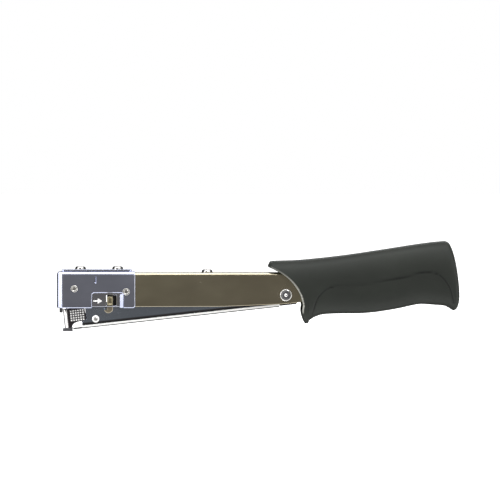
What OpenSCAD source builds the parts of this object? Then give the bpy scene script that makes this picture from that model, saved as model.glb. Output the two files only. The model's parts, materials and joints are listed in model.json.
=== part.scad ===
// Hammer tacker. The nose points to -X, the grip to +X, and the struck surface is at Z = 0.
// The magazine hangs from a pivot near the grip, tilted so that its nose stands below the head.

/* [Frame] */
// Outside width of the folded frame
frame_w = 20; // [19.6:0.1:20.4]
// Sheet thickness of the frame
frame_t = 1.4; // [1.2:0.1:1.5]
// Height of the outside of the frame's roof
frame_top = 46.5; // [46:0.1:47]
// Height of the lower edge of the frame's walls
frame_bottom = 19.6; // [19:0.1:20]
// Front end of the frame
frame_front_x = -154.4; // [-154.4:0.1:-153.8]

/* [Head] */
// Front face of the head shell
head_front_x = -161; // [-161.5:0.1:-160.8]
// Rear edge of the head shell
head_rear_x = -98.7; // [-100:0.1:-97]
// Lower edge of the head shell
head_bottom = 18.6; // [18.4:0.1:19]
// Sheet thickness of the head shell
head_t = 1.2; // [1:0.1:1.3]
// Radius of the shell's two upright front corners
head_corner_r = 6.5; // [5.4:0.1:6.6]

/* [Pivot] */
// Place of the pivot along the tool
pivot_x = 21.6; // [21:0.1:22]
// Height of the pivot
pivot_z = 28.6; // [28:0.1:29]
// Radius of the pivot rivet's shank
pivot_r = 2.5; // [2:0.1:2.8]

/* [Magazine] */
// Tilt of the magazine at rest, in degrees
tilt = 6.14; // [6:0.02:6.2]
// Outside width of the magazine
mag_w = 14.4; // [14.2:0.1:14.6]
// Wall thickness of the magazine
mag_t = 1.2; // [1:0.1:1.3]
// Height of the magazine, square to its length
mag_h = 18.6; // [18:0.1:18.8]
// Width across the staple rail
rail_w = 9; // [8.6:0.1:9.2]
// Height of the top of the staple rail
rail_h = 11; // [10.6:0.1:11.2]
// Length of the finger notch behind the nose
notch_l = 8; // [7:0.1:8.4]

/* [Driver] */
// Thickness of the driver blade
blade_t = 1.2; // [1:0.1:1.3]
// Width of the driver blade
blade_w = 10.6; // [10:0.1:10.8]
// Height of the blade's tip at rest
blade_tip_z = 16; // [15.6:0.1:16.4]

/* [Grip] */
// Full width of the grip at its front
grip_w = 34; // [31:0.5:36]
// Squareness of the grip's sections, where 2 is an ellipse
grip_squareness = 2.6; // [2.2:0.1:3.2]

/* [Hidden] */
$fn = 48;
fit = 0.05;           // running clearance on a radius
seat = 0.02;          // clearance of a fixed pin in its hole
gap = 0.3;            // clearance between sheets that slide past each other
over = 1;             // how far a cutter runs past the face that it cuts

// the frame
frame_in = frame_w / 2 - frame_t;
roof_in = frame_top - frame_t;
fold_r = 2.2;         // outside radius of the frame's and the head's folds
tang_z = 34;          // lower edge of the tang that runs into the grip
tang_x = 40;          // where the walls step up to the tang
tang_end = 126;
tang_rivet_x = [72, 108];
tang_rivet_z = 39.6;
tang_rivet_r = 2;
core_x = [52, 132];          // the moulded filler round the tang
walls_rise = [[-30, frame_bottom], [18, 21.4], [36, 23.2]];
slot_x = [-121.6, -113.6];   // opening for a latch tab
slot_z = [20.5, 28.7];
arrow_z = 24.2;              // arrow embossed in front of the opening
arrow_x = [-132, -128.4, -124.8];
arrow_half = [0.55, 2.2];
arrow_h = 0.5;

// the head
head_out = frame_w / 2 + head_t;
window_x = [-133, -108.1];   // notch in the shell's lower edge, around the latch tab
window_top = 30.6;
window_r = 2;
slit_x = -130.5;
slit_z = [38.8, 43.9];
slit_w = 0.6;
head_lower_r = 2;            // lower rear corner of the shell
head_brow_r = 3;             // where the shell's front turns into its roof
head_roof = frame_top + head_t;
plate_x = [-157, -101];      // the striking plate on the head
plate_t = 1.4;
plate_w = 15;
plate_r = 2.4;
head_rivet_x = [-142, -112.4];
head_rivet_r = 4.4;
head_rivet_h = 3.1;
head_rivet_side = 0.55;      // straight share of the height of a rivet's head
rivet_shank_r = 2.4;
side_rivets = [[-147, 34], [-105.8, 31.5]];
side_rivet_r = 2.75;
side_rivet_rim = 0.5;
side_rivet_bore = 1.5;       // dimple in the end of each side rivet
side_shank_r = 2.1;
guide_x = [-159.4, -156.3];  // the two hooks under the shell's front corners
guide_z = [14.9, 31.4];
hook_r = 1.6;

// the driver
block_x = [-155.8, -103];
block_bottom = 38;
blade_x = -153.2;
blade_top = 43;

// the return spring
spring_rivet_x = -41;
spring_tip_x = -90;
spring_t = 0.9;
spring_w = 9;
spring_pad = [6, 7];         // flat length before and behind the rivet
spring_toe = 5;
spring_rise = 0.6;           // how far the tip turns up from the magazine
washer_t = 1;
washer_r = 4.8;
pivot_head = [3.25, 0.8];    // radius and height of the pivot rivet's flat heads
pivot_nub = [1.5, 1.2];      // radius and height of the nub on each head
mag_rivet_head = [2.8, 1.2];

// the magazine's own axes: u along it towards the grip, v square to it, from its underside
mag_origin = [-150, 0, 1.1];
pivot_u = (pivot_x - mag_origin.x) * cos(tilt) + (pivot_z - mag_origin.z) * sin(tilt);
pivot_v = (pivot_z - mag_origin.z) * cos(tilt) - (pivot_x - mag_origin.x) * sin(tilt);
mag_half = mag_w / 2;
mag_in = mag_half - mag_t;
mag_front_u = 13.3;
mag_end_u = 184;
mag_wall_v = 2.7;            // lower edge of the walls above the bottom rail
mag_tail_v = 0.8;            // lower edge of the walls behind the bottom rail
rail_end_u = 167.8;
nose_front_u = -4.4;
channel_u = [-2.45, -0.45];  // the slot that the staple and the blade run down
nose_top_v = 16.8;
notch_start_u = 1.6;
notch_top_v = 6;
tray_h = 2.5;
tray_t = 0.9;
ear_x = [-123.4, -121.2];    // stop ears that hang on the latches
ear_z = [17.3, 19];
side_rivet_uv = [20.8, 6.5];
mag_rivet_r = 1.6;
bush_r = [3.3, 4.7];         // the magazine's bushes: in the wall, and beside it
nose_corner_r = 4.2;
nose_bottom_v = 1.6;
foot_x = [-156.2, -148.2];
rail_rivet_u = [30, 88, 146];
rail_rivet_r = 1.2;
rail_t = 1;

// the feed
rod_v = 14.6;
rod_r = 1.25;
bracket_u = [16.5, 18.2];
block_u = [158, 165];
pusher_l = 23.7;
pusher_u = 0.3;
lug_l = 5;
pusher_w = 10.8;
pusher_v = [6.6, 12];
feed_spring_r = 2.4;

// the latches: a strip with a rounded toe, a thumb tab, and a blind behind the opening
latch_x = [-120.9, -116.4];
latch_top = 34.4;
latch_y = [mag_half + gap, frame_in - gap];
toe_z = 17;                  // the stop ears hang on this height
toe_axis = [-119.9, 18];
toe_r = 3.5;
blind_end_x = -112.2;
blind_z = [19.8, 29.6];
tab_z = [21, 27.5];
tab_y = frame_w / 2 + 0.9;
tab_r = 0.8;
tab_rim = 1;                 // width of the raised rim round the tab's dish
tab_dish = 0.5;
latch_step_x = [-109.6, -108.8];   // step in each frame wall that a latch spring pushes against
latch_step_z = [29.8, 34.8];
zig_z = [30.2, 34.2];
zig_pitch = 1.6;
zig_t = 0.45;

// the grip: heights of its upper and lower outline, and its half width, along the tool
grip_top = [[7.4, 51], [9, 54.4], [12, 55.8], [34, 56.7], [66, 60], [98, 64.6], [130, 69.5],
    [147, 71.5], [151.5, 71.2], [154, 68.4], [156.5, 61.5], [158.5, 52.5], [160.2, 40], [161, 28]];
grip_bottom = [[7.4, 5.3], [37, 5.3], [40, 7.3], [43, 9.6], [47, 11.5], [52, 12.8], [62, 13.4],
    [82, 13.6], [96, 14.8], [112, 17.4], [124, 20], [131, 20.9], [142, 20.2], [149, 19.6],
    [152.5, 18.2], [156, 16], [157.5, 15.8], [159.4, 17.4], [160.4, 20.5], [161, 25]];
grip_half = [[7.4, grip_w / 2 - 0.6], [40, grip_w / 2], [80, grip_w / 2 - 1.6],
    [112, grip_w / 2 - 1.4], [146, grip_w / 2], [156, grip_w / 2 - 0.6],
    [159, grip_w / 2 - 2.4], [160.4, grip_w / 2 - 5], [161, grip_w / 2 - 9]];
grip_stations = concat([7.4, 8.2, 9, 10.4, 12], [for (x = [17:5:142]) x],
    [146, 149.5, 151.5, 153, 154.5, 156, 157.2, 158.3, 159.2, 160, 160.6, 161]);
grip_sides = 32;
mouth_curve = [[7.2, 51.2], [20, 46.4], [33.4, 36], [34.9, 20]];
lip_front = [[34.9, 20], [34.2, 16.4], [33.4, 14.2], [37, 5.1]];
pocket_end = 46;
pocket_bottom = 16;

// ---- helpers -------------------------------------------------------------------------------

// Turns a side view drawn in X and Z into a plate between two places across the tool
module across(y0, y1) {
    translate([0, y1, 0]) rotate([90, 0, 0]) linear_extrude(y1 - y0) children();
}

// Sweeps a section drawn in Y and Z along the tool
module along(x0, x1) {
    translate([x0, 0, 0]) rotate([90, 0, 90]) linear_extrude(x1 - x0) children();
}

// Repeats a left-hand shape on the right-hand side
module both_sides() {
    children();
    mirror([0, 1, 0]) children();
}

// Puts a shape drawn on the magazine's own axes in its place at rest
module on_magazine() {
    translate(mag_origin) rotate([0, -tilt, 0]) children();
}

// An upright section with two rounded top corners
module arch(w, bottom, top, r) {
    translate([-w / 2, bottom]) square([w, top - bottom - r]);
    translate([-w / 2 + r, bottom]) square([w - 2 * r, top - bottom]);
    for (side = [-1, 1]) translate([side * (w / 2 - r), top - r]) circle(r);
}

// A rectangle with four rounded corners
module soft_rect(x, z, r) {
    translate([x[0] + r, z[0]]) square([x[1] - x[0] - 2 * r, z[1] - z[0]]);
    translate([x[0], z[0] + r]) square([x[1] - x[0], z[1] - z[0] - 2 * r]);
    for (cx = [x[0] + r, x[1] - r], cz = [z[0] + r, z[1] - r]) translate([cx, cz]) circle(r);
}

// A round bar across the tool
module pin(x, z, y0, y1, r) {
    translate([x, y1, z]) rotate([90, 0, 0]) cylinder(h = y1 - y0, r = r);
}

// An upright rivet standing on height 0, with its shank below. Its head has straight sides for
// a share of its height, then a dome
module domed_rivet(r, h, shank_r, shank_l, straight = 0.35) {
    rise = h * (1 - straight);
    dome_r = (r * r + rise * rise) / (2 * rise);
    rotate_extrude() {
        square([r, h - rise]);
        intersection() {
            translate([0, h - dome_r]) circle(dome_r, $fn = 96);
            square([r, h]);
        }
    }
    translate([0, 0, -shank_l]) cylinder(h = shank_l + seat, r = shank_r);
}

// An upright hole through the roofs, for a head rivet or the spring rivet
module rivet_hole(x) {
    translate([x, 0, block_bottom - over])
        cylinder(h = head_roof + plate_t - block_bottom + 2 * over, r = rivet_shank_r + seat);
}

function bezier(p, t) = p[0] * pow(1 - t, 3) + p[1] * 3 * t * pow(1 - t, 2)
    + p[2] * 3 * t * t * (1 - t) + p[3] * pow(t, 3);

// ---- frame ---------------------------------------------------------------------------------

module frame_side() {
    polygon(concat([[frame_front_x, frame_bottom]], walls_rise,
        [[tang_x, 30], [tang_x + 6, tang_z], [tang_end, tang_z], [tang_end, frame_top + over],
        [frame_front_x, frame_top + over]]));
}

module frame_arrow() {
    translate([arrow_x[0], arrow_z - arrow_half[0]])
        square([arrow_x[1] - arrow_x[0] + seat, 2 * arrow_half[0]]);
    translate([arrow_x[1], arrow_z])
        polygon([[0, -arrow_half[1]], [arrow_x[2] - arrow_x[1], 0], [0, arrow_half[1]]]);
}

module frame_channel() color([0.62, 0.62, 0.58]) {
    difference() {
        intersection() {
            along(frame_front_x, tang_end) arch(frame_w, 0, frame_top, fold_r);
            across(-frame_w, frame_w) frame_side();
        }
        along(frame_front_x - over, tang_end + over)
            arch(2 * frame_in, -over, roof_in, fold_r - frame_t);
        across(-frame_w, frame_w) translate([slot_x[0], slot_z[0]])
            square([slot_x[1] - slot_x[0], slot_z[1] - slot_z[0]]);
        for (r = side_rivets) pin(r[0], r[1], -frame_w, frame_w, side_shank_r + seat);
        for (x = concat(head_rivet_x, [spring_rivet_x])) rivet_hole(x);
        pin(pivot_x, pivot_z, -frame_w, frame_w, pivot_r + seat);
        for (x = tang_rivet_x) pin(x, tang_rivet_z, -frame_w, frame_w, tang_rivet_r + seat);
    }
    both_sides() across(frame_w / 2 - seat, frame_w / 2 + arrow_h) frame_arrow();
    both_sides() across(latch_y[0], frame_in + seat)
        translate([latch_step_x[0], latch_step_z[0]])
            square([latch_step_x[1] - latch_step_x[0], latch_step_z[1] - latch_step_z[0]]);
}

// ---- head ----------------------------------------------------------------------------------

module head_plan(inset) {
    r = head_corner_r - inset;
    x0 = head_front_x + inset;
    w = 2 * (head_out - inset);
    translate([x0 + r, -w / 2]) square([head_rear_x + over - x0 - r, w]);
    translate([x0, -w / 2 + r]) square([w, w - 2 * r]);
    for (side = [-1, 1]) translate([x0 + r, side * (w / 2 - r)]) circle(r);
}

module head_body(inset, bottom) {
    intersection() {
        along(head_front_x - over, head_rear_x + over)
            arch(2 * (head_out - inset), bottom, head_roof - inset, fold_r + head_t - inset);
        translate([0, 0, bottom - over]) linear_extrude(head_roof) head_plan(inset);
        across(-frame_w, frame_w) head_brow(inset);
    }
}

module head_brow(inset) {
    r = head_brow_r - inset;
    x = head_front_x + inset;
    top = head_roof - inset;
    translate([x + r, 0]) square([head_rear_x + 2 * over - x - r, top]);
    translate([x, 0]) square([2 * r, top - r]);
    translate([x + r, top - r]) circle(r);
}

module head_side() {
    beyond = 10;
    soft_rect([head_front_x - beyond, head_rear_x], [head_bottom, head_roof + beyond], head_lower_r);
    translate([head_front_x - beyond, head_bottom]) square([2 * beyond, 2 * beyond]);
}

module head_window() {
    translate([window_x[0], head_bottom - over])
        square([window_x[1] - window_x[0], window_top - window_r - head_bottom + over]);
    translate([window_x[0] + window_r, head_bottom])
        square([window_x[1] - window_x[0] - 2 * window_r, window_top - head_bottom]);
    for (x = [window_x[0] + window_r, window_x[1] - window_r])
        translate([x, window_top - window_r]) circle(window_r);
}

module head_shell() color([0.55, 0.57, 0.62]) difference() {
    intersection() {
        head_body(0, head_bottom);
        across(-frame_w, frame_w) head_side();
    }
    head_body(head_t, head_bottom - 2 * over);
    across(-frame_w, frame_w) head_window();
    across(-frame_w, frame_w) translate([slit_x, slit_z[0]])
        square([slit_w, slit_z[1] - slit_z[0]]);
    for (r = side_rivets) pin(r[0], r[1], -frame_w, frame_w, side_shank_r + seat);
    for (x = head_rivet_x) rivet_hole(x);
}

module striking_plate() color([0.7, 0.7, 0.7]) difference() {
    translate([0, 0, head_roof]) linear_extrude(plate_t)
        soft_rect(plate_x, [-plate_w / 2, plate_w / 2], plate_r);
    for (x = head_rivet_x) rivet_hole(x);
}

module head_rivets() color([0.85, 0.85, 0.85])
    for (x = head_rivet_x) translate([x, 0, head_roof + plate_t])
        domed_rivet(head_rivet_r, head_rivet_h, rivet_shank_r, head_roof + plate_t - block_bottom,
            head_rivet_side);

// Rivets with a dimpled outer end and a flange inside the frame
module head_side_rivets() color([0.85, 0.85, 0.85]) both_sides() for (r = side_rivets) difference() {
    flange_t = 0.3;
    union() {
        pin(r[0], r[1], head_out, head_out + side_rivet_rim, side_rivet_r);
        pin(r[0], r[1], frame_in - seat, head_out + seat, side_shank_r);
        pin(r[0], r[1], frame_in - flange_t, frame_in, side_rivet_r - seat);
    }
    pin(r[0], r[1], frame_in + flange_t, head_out + over, side_rivet_bore);
}

// Two hooked guides inside the shell's front corners, which the nose slides up between
module front_guide() color([0.1, 0.1, 0.1]) both_sides() intersection() {
    neck_z = guide_z[0] + hook_r;
    across(mag_half + gap, frame_w / 2) {
        translate([guide_x[0], neck_z + hook_r / 2])
            square([guide_x[1] - guide_x[0], guide_z[1] - neck_z - hook_r / 2]);
        translate([guide_x[0] + hook_r, neck_z]) circle(hook_r);
        translate([guide_x[0] + hook_r, guide_z[0]])
            square([guide_x[1] - guide_x[0] - hook_r, 2 * hook_r]);
    }
    linear_extrude(head_roof) head_plan(head_t + seat);
}

module driver_block() color([0.45, 0.45, 0.48]) difference() {
    translate([block_x[0], -frame_in, block_bottom])
        cube([block_x[1] - block_x[0], 2 * frame_in, roof_in - fold_r + frame_t - block_bottom]);
    translate([blade_x - blade_t / 2 - seat, -blade_w / 2 - seat, block_bottom - over])
        cube([blade_t + 2 * seat, blade_w + 2 * seat, blade_top - block_bottom + over + seat]);
    for (x = head_rivet_x) rivet_hole(x);
}

module driver_blade() color([0.6, 0.62, 0.66])
    translate([blade_x - blade_t / 2, -blade_w / 2, blade_tip_z])
        cube([blade_t, blade_w, blade_top - blade_tip_z]);

// ---- return spring -------------------------------------------------------------------------

module spring_rivet() color([0.85, 0.85, 0.85]) translate([spring_rivet_x, 0, frame_top]) {
    tail = [3.6, 1.2];
    grip_length = frame_t + spring_t;
    domed_rivet(head_rivet_r, head_rivet_h, rivet_shank_r, grip_length + seat, head_rivet_side);
    translate([0, 0, -grip_length - tail[1]]) cylinder(h = tail[1], r = tail[0]);
}

module return_leaf_spring() color([0.35, 0.36, 0.4]) difference() {
    lift = 0.4;
    tip_z = mag_origin.z + (spring_tip_x - mag_origin.x) * tan(tilt) + mag_h / cos(tilt) + lift;
    across(-spring_w / 2, spring_w / 2) polygon([
        [spring_rivet_x + spring_pad[1], roof_in],
        [spring_rivet_x + spring_pad[1], roof_in - spring_t],
        [spring_rivet_x - spring_pad[0], roof_in - spring_t],
        [spring_tip_x, tip_z],
        [spring_tip_x - spring_toe, tip_z + spring_rise],
        [spring_tip_x - spring_toe, tip_z + spring_rise + spring_t],
        [spring_tip_x, tip_z + spring_t],
        [spring_rivet_x - spring_pad[0] - lift, roof_in]]);
    rivet_hole(spring_rivet_x);
}

// ---- pivot ---------------------------------------------------------------------------------

module pivot_rivet() color([0.85, 0.85, 0.85]) {
    seat_y = frame_w / 2 + washer_t;
    pin(pivot_x, pivot_z, -seat_y, seat_y, pivot_r);
    both_sides() {
        pin(pivot_x, pivot_z, seat_y, seat_y + pivot_head[1], pivot_head[0]);
        translate([pivot_x, seat_y + pivot_head[1], pivot_z]) rotate([-90, 0, 0])
            domed_rivet(pivot_nub[0], pivot_nub[1], pivot_nub[0] / 2, 0, 0.2);
    }
}

module pivot_washers() color([0.8, 0.8, 0.8]) both_sides() difference() {
    pin(pivot_x, pivot_z, frame_w / 2, frame_w / 2 + washer_t, washer_r);
    pin(pivot_x, pivot_z, frame_w / 2 - over, frame_w / 2 + washer_t + over, pivot_r + seat);
}

// ---- grip ----------------------------------------------------------------------------------

module handle_core() color([0.2, 0.2, 0.22]) difference() {
    along(core_x[0], core_x[1]) translate([-frame_in + seat, tang_z])
        square([2 * (frame_in - seat), roof_in - fold_r + frame_t - tang_z]);
    for (x = tang_rivet_x) pin(x, tang_rivet_z, -frame_w, frame_w, tang_rivet_r + seat);
}

module tang_rivets() color([0.7, 0.7, 0.7])
    for (x = tang_rivet_x) pin(x, tang_rivet_z, -frame_w / 2, frame_w / 2, tang_rivet_r);

function sign_pow(v, e) = sign(v) * pow(abs(v), e);

function grip_ring(x) = let (
    top = lookup(x, grip_top),
    bottom = lookup(x, grip_bottom),
    half = lookup(x, grip_half),
    e = 2 / grip_squareness)
    [for (i = [0:grip_sides - 1]) let (a = i * 360 / grip_sides)
        [x, half * sign_pow(cos(a), e), (top + bottom) / 2 + (top - bottom) / 2 * sign_pow(sin(a), e)]];

module grip_body() {
    rings = len(grip_stations);
    n = grip_sides;
    points = [for (x = grip_stations) each grip_ring(x)];
    walls = [for (r = [0:rings - 2], i = [0:n - 1]) let (j = (i + 1) % n)
        each [[r * n + i, r * n + j, (r + 1) * n + j], [r * n + i, (r + 1) * n + j, (r + 1) * n + i]]];
    front = [[for (i = [n - 1:-1:0]) i]];
    rear = [[for (i = [0:n - 1]) (rings - 1) * n + i]];
    polyhedron(points, concat(walls, front, rear));
}

// Everything in front of the curved mouth
module mouth_cut() {
    steps = 14;
    across(-grip_w, grip_w) polygon(concat([[0, 60], [7.1, 60]],
        [for (i = [0:steps]) bezier(mouth_curve, i / steps)],
        [for (i = [1:steps / 2]) bezier(lip_front, i / (steps / 2))], [[37, 0], [0, 0]]));
}

// Room for the end of the frame and the tail of the magazine, and for the tang
module grip_pocket() {
    along(0, pocket_end) arch(frame_w + 2 * gap, pocket_bottom, frame_top + gap, fold_r + gap);
    along(pocket_end - over, core_x[1] + gap) arch(frame_w + 2 * seat, tang_z - seat,
        frame_top + seat, fold_r);
}

module grip() color([0.2, 0.22, 0.2]) difference() {
    grip_body();
    mouth_cut();
    grip_pocket();
}

// ---- latches -------------------------------------------------------------------------------

module latch_plate() difference() {
    union() {
        across(latch_y[0], latch_y[1]) {
            translate([latch_x[0], toe_z - over])
                square([latch_x[1] - latch_x[0], latch_top - toe_z + over]);
            translate([latch_x[0], blind_z[0]])
                square([blind_end_x - latch_x[0], blind_z[1] - blind_z[0]]);
            intersection() {
                translate(toe_axis) circle(toe_r);
                translate([toe_axis.x - toe_r, toe_axis.y - toe_r])
                    square([2 * toe_r, toe_z - toe_axis.y + toe_r]);
            }
        }
        across(latch_y[1] - seat, tab_y) soft_rect(latch_x, tab_z, tab_r);
    }
    across(tab_y - tab_dish, tab_y + over) soft_rect([latch_x[0] + tab_rim, latch_x[1] - tab_rim],
        [tab_z[0] + tab_rim, tab_z[1] - tab_rim], tab_r);
}

module latch_left() color([0.72, 0.6, 0.32]) latch_plate();
module latch_right() color([0.72, 0.6, 0.32]) mirror([0, 1, 0]) latch_plate();

// A flat zigzag spring behind the latch, against a step in the frame wall
module zigzag() {
    bends = 4;
    side = 0.1;
    link = zig_pitch + zig_t - 0.15;
    across(latch_y[0] + side, latch_y[1] - side) for (i = [0:bends - 1]) {
        x = latch_x[1] + fit + i * zig_pitch;
        translate([x, zig_z[0]]) square([zig_t, zig_z[1] - zig_z[0]]);
        translate([x, i % 2 == 1 ? zig_z[0] : zig_z[1] - zig_t]) square([link, zig_t]);
    }
}

module latch_spring_left() color([0.6, 0.6, 0.6]) zigzag();
module latch_spring_right() color([0.6, 0.6, 0.6]) mirror([0, 1, 0]) zigzag();

// ---- magazine ------------------------------------------------------------------------------

module magazine_side() {
    polygon([[mag_front_u, mag_h + over], [mag_front_u, 7], [notch_start_u + notch_l, 5.4],
        [notch_start_u + notch_l, mag_wall_v + 0.8], [notch_start_u + notch_l + 0.8, mag_wall_v],
        [rail_end_u + 0.3, mag_wall_v], [rail_end_u + 0.3, mag_tail_v], [mag_end_u - 3, mag_tail_v],
        [mag_end_u, mag_tail_v + 3], [mag_end_u, 13], [mag_end_u - 5, mag_h + over]]);
}

module magazine_channel() color([0.5, 0.52, 0.57]) {
    on_magazine() difference() {
        intersection() {
            along(0, mag_end_u) arch(mag_w, 0, mag_h, 1.8);
            across(-mag_w, mag_w) magazine_side();
        }
        along(-over, mag_end_u + over) arch(2 * mag_in, -over, mag_h - mag_t, 0.6);
        pin(pivot_u, pivot_v, -mag_w, mag_w, bush_r[0] + seat);
        pin(side_rivet_uv[0], side_rivet_uv[1], -mag_w, mag_w, mag_rivet_r + seat);
    }
    both_sides() across(mag_half - seat, frame_in - gap) translate([ear_x[0], ear_z[0]])
        square([ear_x[1] - ear_x[0], ear_z[1] - ear_z[0]]);
}

module magazine_bushes() color([0.75, 0.62, 0.35]) on_magazine() both_sides() difference() {
    union() {
        pin(pivot_u, pivot_v, mag_half, frame_in - 2 * fit, bush_r[1]);
        pin(pivot_u, pivot_v, mag_in - gap, mag_half + seat, bush_r[0]);
    }
    pin(pivot_u, pivot_v, 0, frame_w, pivot_r + fit);
}

module magazine_side_rivets() color([0.9, 0.9, 0.88]) on_magazine() both_sides() {
    pin(side_rivet_uv[0], side_rivet_uv[1], mag_in - gap, mag_half + seat, mag_rivet_r);
    translate([side_rivet_uv[0], mag_half, side_rivet_uv[1]]) rotate([-90, 0, 0])
        domed_rivet(mag_rivet_head[0], mag_rivet_head[1], mag_rivet_r, 0, 0.2);
}

// The thickness of the two blocks under the roof that hold the ends of the pusher rod
module rod_block(u, bottom) {
    roof_gap = 0.6;
    along(u[0], u[1]) translate([-mag_in + seat, bottom])
        square([2 * (mag_in - seat), mag_h - mag_t - roof_gap - bottom]);
}

module rod_hole() {
    translate([0, 0, rod_v]) rotate([0, 90, 0]) cylinder(h = mag_end_u, r = rod_r + seat);
}

module rod_bracket() color([0.6, 0.6, 0.62]) on_magazine() difference() {
    ear = [7, 9.4];
    union() {
        rod_block(bracket_u, 12.4);
        both_sides() across(mag_in - gap, mag_in - seat) translate([bracket_u[0], 3.6]) square(ear);
    }
    rod_hole();
    pin(side_rivet_uv[0], side_rivet_uv[1], -mag_w, mag_w, mag_rivet_r + seat);
}

module end_block() color([0.3, 0.3, 0.32]) on_magazine() difference() {
    rod_block(block_u, 12);
    rod_hole();
}

module pusher_rod() color([0.75, 0.75, 0.75]) on_magazine()
    translate([bracket_u[0], 0, rod_v]) rotate([0, 90, 0])
        cylinder(h = block_u[1] - bracket_u[0], r = rod_r);

// ---- feed ----------------------------------------------------------------------------------

module pusher() color([0.25, 0.25, 0.27]) on_magazine() difference() {
    lug_u = pusher_u + pusher_l - lug_l;
    lug = [5.2, 5.4];
    union() {
        along(pusher_u, pusher_u + pusher_l) translate([-pusher_w / 2, pusher_v[0]])
            square([pusher_w, pusher_v[1] - pusher_v[0]]);
        along(lug_u, lug_u + lug_l) translate([-lug.x / 2, pusher_v[1] - seat]) square(lug);
    }
    // fits astride the staple rail
    along(pusher_u - over, pusher_u + pusher_l + over) translate([-rail_w / 2 - 4 * fit, 0])
        square([rail_w + 8 * fit, rail_h + 3 * fit]);
    translate([0, 0, rod_v]) rotate([0, 90, 0]) cylinder(h = mag_end_u, r = rod_r + fit);
}

module pusher_spring() color([0.7, 0.7, 0.72]) on_magazine() {
    start = pusher_u + pusher_l + gap;
    length = block_u[0] - gap - start;
    translate([start, 0, rod_v]) rotate([0, 90, 0]) difference() {
        cylinder(h = length, r = feed_spring_r);
        translate([0, 0, -over]) cylinder(h = length + 2 * over, r = rod_r + gap);
    }
}

// ---- pull-out unit -------------------------------------------------------------------------

module notch_outline() {
    polygon([[notch_start_u, -over], [notch_start_u, 2.4], [2.4, 3.9], [3.9, 5], [6.1, 5.7],
        [notch_start_u + notch_l + 8, notch_top_v + 0.6], [notch_start_u + notch_l + 8, -over]]);
}

module nose_plan() {
    r = nose_corner_r;
    rear = mag_front_u - gap;
    translate([nose_front_u + r, -mag_half]) square([rear - nose_front_u - r, mag_w]);
    translate([nose_front_u, -mag_half + r]) square([r + over, mag_w - 2 * r]);
    for (side = [-1, 1]) translate([nose_front_u + r, side * (mag_half - r)]) circle(r);
}

// The slot that the staple and the blade run down, as long as is asked for
module staple_slot(length, bottom, height) {
    half = mag_in - 2 * fit;
    translate([channel_u[0], -half, bottom]) cube([length, 2 * half, height]);
}

module nose_housing() color([0.5, 0.5, 0.5]) on_magazine() difference() {
    corner_u = 9;             // clears the front corner of the magazine's walls
    translate([0, 0, nose_bottom_v]) linear_extrude(nose_top_v - nose_bottom_v) nose_plan();
    staple_slot(2 * mag_front_u, 0, 2 * nose_top_v);
    across(-mag_w, mag_w) notch_outline();
    across(-mag_w, mag_w) polygon([[corner_u, -over], [corner_u, 5.6], [mag_front_u, 7.2],
        [mag_front_u + over, 7.2], [mag_front_u + over, -over]]);
}

module strike_foot() color([0.4, 0.4, 0.42]) difference() {
    intersection() {
        translate([foot_x[0], -mag_half, 0]) cube([foot_x[1] - foot_x[0], mag_w, 5]);
        on_magazine() translate([-mag_front_u, -mag_w, -3])
            cube([2 * mag_front_u, 2 * mag_w, nose_bottom_v + 3]);
    }
    on_magazine() staple_slot(channel_u[1] - channel_u[0], -5, nose_top_v);
}

module rail_rivet_holes() {
    for (u = rail_rivet_u) translate([u, 0, -over]) cylinder(h = rail_h, r = rail_rivet_r + seat);
}

module bottom_rail() color([0.85, 0.85, 0.83]) on_magazine() difference() {
    front_u = 2.2;
    lip_t = 0.8;
    notch_end_u = notch_start_u + notch_l;
    translate([front_u, -mag_half, 0]) cube([rail_end_u - front_u, mag_w, tray_h]);
    translate([0, -mag_half + lip_t, tray_t]) cube([mag_end_u, mag_w - 2 * lip_t, tray_h]);
    translate([0, -mag_w, tray_t]) cube([notch_end_u, 2 * mag_w, tray_h]);
    rail_rivet_holes();
}

// A box open below, with a bridge at each rivet
module staple_rail() color([0.7, 0.7, 0.72]) on_magazine() difference() {
    rail_back_u = 166;
    notch_end_u = notch_start_u + notch_l;
    bridge = [6, 3];
    translate([channel_u[1], -rail_w / 2, tray_t])
        cube([rail_back_u - channel_u[1], rail_w, rail_h - tray_t]);
    difference() {
        translate([notch_end_u + rail_t, -rail_w / 2 + rail_t, 0])
            cube([mag_end_u, rail_w - 2 * rail_t, rail_h - rail_t]);
        for (u = rail_rivet_u) translate([u - bridge.x / 2, -rail_w, 0])
            cube([bridge.x, 2 * rail_w, bridge.y]);
    }
    intersection() {
        across(-mag_w, mag_w) notch_outline();
        translate([0, -mag_w, 0]) cube([notch_end_u, 2 * mag_w, 2 * rail_h]);
    }
    rail_rivet_holes();
    // seat of the strike foot
    translate([channel_u[0], -mag_w, 0]) cube([2.2 - channel_u[0], 2 * mag_w, nose_bottom_v]);
}

module rail_rivets() color([0.8, 0.8, 0.8]) on_magazine()
    for (u = rail_rivet_u) translate([u, 0, fit]) cylinder(h = 3.4, r = rail_rivet_r);

// ---- output --------------------------------------------------------------------------------

frame_channel();
head_shell();
striking_plate();
head_rivets();
head_side_rivets();
front_guide();
driver_block();
driver_blade();
spring_rivet();
return_leaf_spring();
pivot_rivet();
pivot_washers();
handle_core();
tang_rivets();
grip();
latch_left();
latch_right();
latch_spring_left();
latch_spring_right();
magazine_channel();
magazine_bushes();
magazine_side_rivets();
rod_bracket();
end_block();
pusher_rod();
pusher();
pusher_spring();
nose_housing();
strike_foot();
bottom_rail();
staple_rail();
rail_rivets();
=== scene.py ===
# %% [markdown]
# # A hammer tacker
# The tool is a folded, nickel-plated steel body with a striking head, a magazine that swings
# under it, and a moulded rubber grip. Everything that fits or moves is already a packed
# model. This lesson loads that model and gives each piece its finish: small radii on the
# folded sheets, a moulded grip, a knurled nose, wound springs and their materials.

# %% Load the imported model
import json
import math

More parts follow.
